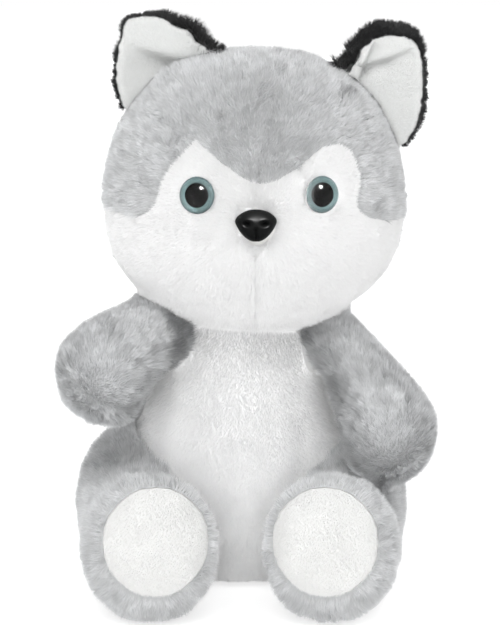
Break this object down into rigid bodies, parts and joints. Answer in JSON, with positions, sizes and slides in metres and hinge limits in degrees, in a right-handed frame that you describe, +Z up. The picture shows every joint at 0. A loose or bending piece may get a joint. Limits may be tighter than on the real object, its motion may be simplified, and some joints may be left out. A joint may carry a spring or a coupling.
{
  "type": "plush husky",
  "caption": "Sitting plush husky toy, grey with a white face, belly and foot pads, black-backed ears, plastic eyes and nose.",
  "frame": {"origin": "middle of the flat seat that the toy sits on", "axes": "+Z up through the head, -Y the way the face looks, +X to the viewer's right"},
  "size_m": [0.1592, 0.166, 0.2436],
  "materials": {
    "grey_plush": "short soft pile, matte",
    "white_plush": "short soft pile, matte",
    "black_plush": "longer spiky pile, matte",
    "white_nap": "close-cropped nap, matte",
    "fibre_fill": "loose polyester fibre",
    "eye_dome": "clear dome with the iris painted behind, polished",
    "black_plastic": "moulded, satin gloss",
    "washer_plastic": "moulded, matte"
  },
  "bodies": {
    "root": {"hood": "grey_plush", "face_panel_left": "white_plush", "face_panel_right": "white_plush", "head_stuffing": "fibre_fill", "ear_back_left": "black_plush", "ear_back_right": "black_plush", "ear_lining_left": "white_nap", "ear_lining_right": "white_nap", "eye_lens_left": "eye_dome", "eye_lens_right": "eye_dome", "eye_post_left": "black_plastic", "eye_post_right": "black_plastic", "eye_washer_left": "washer_plastic", "eye_washer_right": "washer_plastic", "nose": "black_plastic", "nose_washer": "washer_plastic", "belly_panel": "white_plush", "back_panel_left": "grey_plush", "back_panel_right": "grey_plush", "body_stuffing": "fibre_fill", "arm_skin_left": "grey_plush", "arm_skin_right": "grey_plush", "arm_stuffing_left": "fibre_fill", "arm_stuffing_right": "fibre_fill", "leg_skin_left": "grey_plush", "leg_skin_right": "grey_plush", "leg_stuffing_left": "fibre_fill", "leg_stuffing_right": "fibre_fill", "foot_pad_left": "white_nap", "foot_pad_right": "white_nap", "tail_skin": "grey_plush", "tail_stuffing": "fibre_fill"}
  },
  "joints": []
}
